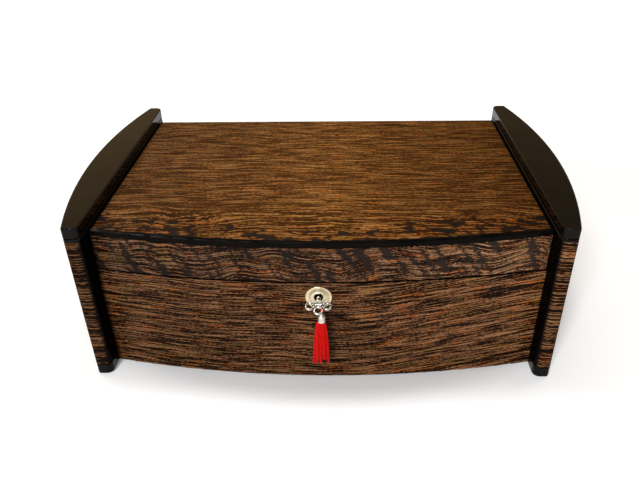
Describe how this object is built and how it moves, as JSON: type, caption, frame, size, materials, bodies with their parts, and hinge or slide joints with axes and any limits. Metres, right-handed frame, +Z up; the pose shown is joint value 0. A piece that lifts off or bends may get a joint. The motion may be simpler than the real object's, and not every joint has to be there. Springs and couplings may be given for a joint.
{
  "type": "cigar humidor",
  "caption": "Desktop humidor: a bow-fronted, cedar-lined veneered box between two tall curved side panels, with a hinged lid, a lock with a tasselled key and a lift-out tray.",
  "frame": {"origin": "on the table, in the middle of the footprint of the two side panels", "axes": "+X to the right seen from the front, the front with the lock faces -Y, +Z up"},
  "size_m": [0.468, 0.318, 0.163],
  "materials": {
    "veneer": "dark striped rosewood veneer under high gloss lacquer",
    "black_lacquer": "black piano lacquer on wood",
    "cedar": "bare unfinished cedar",
    "nickel": "polished nickel",
    "pale_gold": "polished pale gold plate",
    "brass": "polished brass",
    "steel": "bright steel",
    "felt": "black felt",
    "thread": "glossy red silk thread",
    "dial": "printed dial",
    "needle": "black paint",
    "lens": "clear",
    "black_plastic": "matt black",
    "foam": "damp green foam",
    "magnet": "plated magnet"
  },
  "bodies": {
    "carcass": {"body_back": "veneer", "body_floor": "veneer", "body_front": "veneer", "body_side_left": "veneer", "body_side_right": "veneer", "escutcheon": "pale_gold", "felt_base": "felt", "hinge_leaves_body": "brass", "hinge_pins": "brass", "hinge_screws_body": "brass", "lining_back": "cedar", "lining_floor": "cedar", "lining_front": "cedar", "lining_left": "cedar", "lining_right": "cedar", "lock_case": "brass", "lock_screws": "brass", "lower_dividers": "cedar", "panel_screws": "steel", "side_base_left": "black_lacquer", "side_base_right": "black_lacquer", "side_cap_left": "black_lacquer", "side_cap_right": "black_lacquer", "side_panel_left": "veneer", "side_panel_right": "veneer", "tray_ledges": "cedar"},
    "lid": {"hinge_leaves_lid": "brass", "hinge_screws_lid": "brass", "humidifier_case": "black_plastic", "humidifier_foam": "foam", "humidifier_grille": "black_plastic", "hygrometer_case": "brass", "hygrometer_dial": "dial", "hygrometer_lens": "lens", "lid_back": "veneer", "lid_ceiling": "cedar", "lid_edge": "black_lacquer", "lid_front": "veneer", "lid_lining_back": "cedar", "lid_lining_ends": "cedar", "lid_lining_front": "cedar", "lid_magnets": "magnet", "lid_side_left": "black_lacquer", "lid_side_right": "black_lacquer", "lid_top": "veneer", "strike_plate": "brass", "strike_screws": "brass"},
    "tray": {"tray_back": "cedar", "tray_divider": "cedar", "tray_ends": "cedar", "tray_front": "cedar", "tray_slats": "cedar"},
    "hub": {"lock_hub": "steel"},
    "bolt": {"lock_bolt": "steel"},
    "key": {"key": "nickel"},
    "tassel": {"tassel_loop": "thread", "tassel_cap": "nickel", "tassel_skirt": "thread"},
    "needle": {"hygrometer_needle": "needle"}
  },
  "joints": [
    {"name": "lid_hinge", "type": "hinge", "parent": "carcass", "child": "lid", "pos_m": [0, 0.1335, 0.11], "axis": [-1, 0, 0], "range_deg": [0, 95]},
    {"name": "tray_lift", "type": "slide", "parent": "carcass", "child": "tray", "axis": [0, 0, 1], "range_m": [0, 0.022]},
    {"name": "key_turn", "type": "hinge", "parent": "carcass", "child": "hub", "pos_m": [0, -0.1408, 0.0952], "axis": [0, 1, 0], "range_deg": [0, 90]},
    {"name": "bolt_slide", "type": "slide", "parent": "carcass", "child": "bolt", "axis": [1, 0, 0], "range_m": [0, 0.00608]},
    {"name": "key_pull", "type": "slide", "parent": "hub", "child": "key", "axis": [0, -1, 0], "range_m": [0, 0.02]},
    {"name": "tassel_swing", "type": "hinge", "parent": "key", "child": "tassel", "pos_m": [0.0034, -0.1648, 0.09267], "axis": [0, 1, 0], "range_deg": [-45, 45]},
    {"name": "needle_turn", "type": "hinge", "parent": "lid", "child": "needle", "pos_m": [-0.112, 0.002, 0.1275], "axis": [0, 0, 1], "range_deg": [-150, 90]}
  ],
  "couplings": [
    {"joint": "key_turn", "follows": "bolt_slide", "rad_per_m": 258.31}
  ]
}
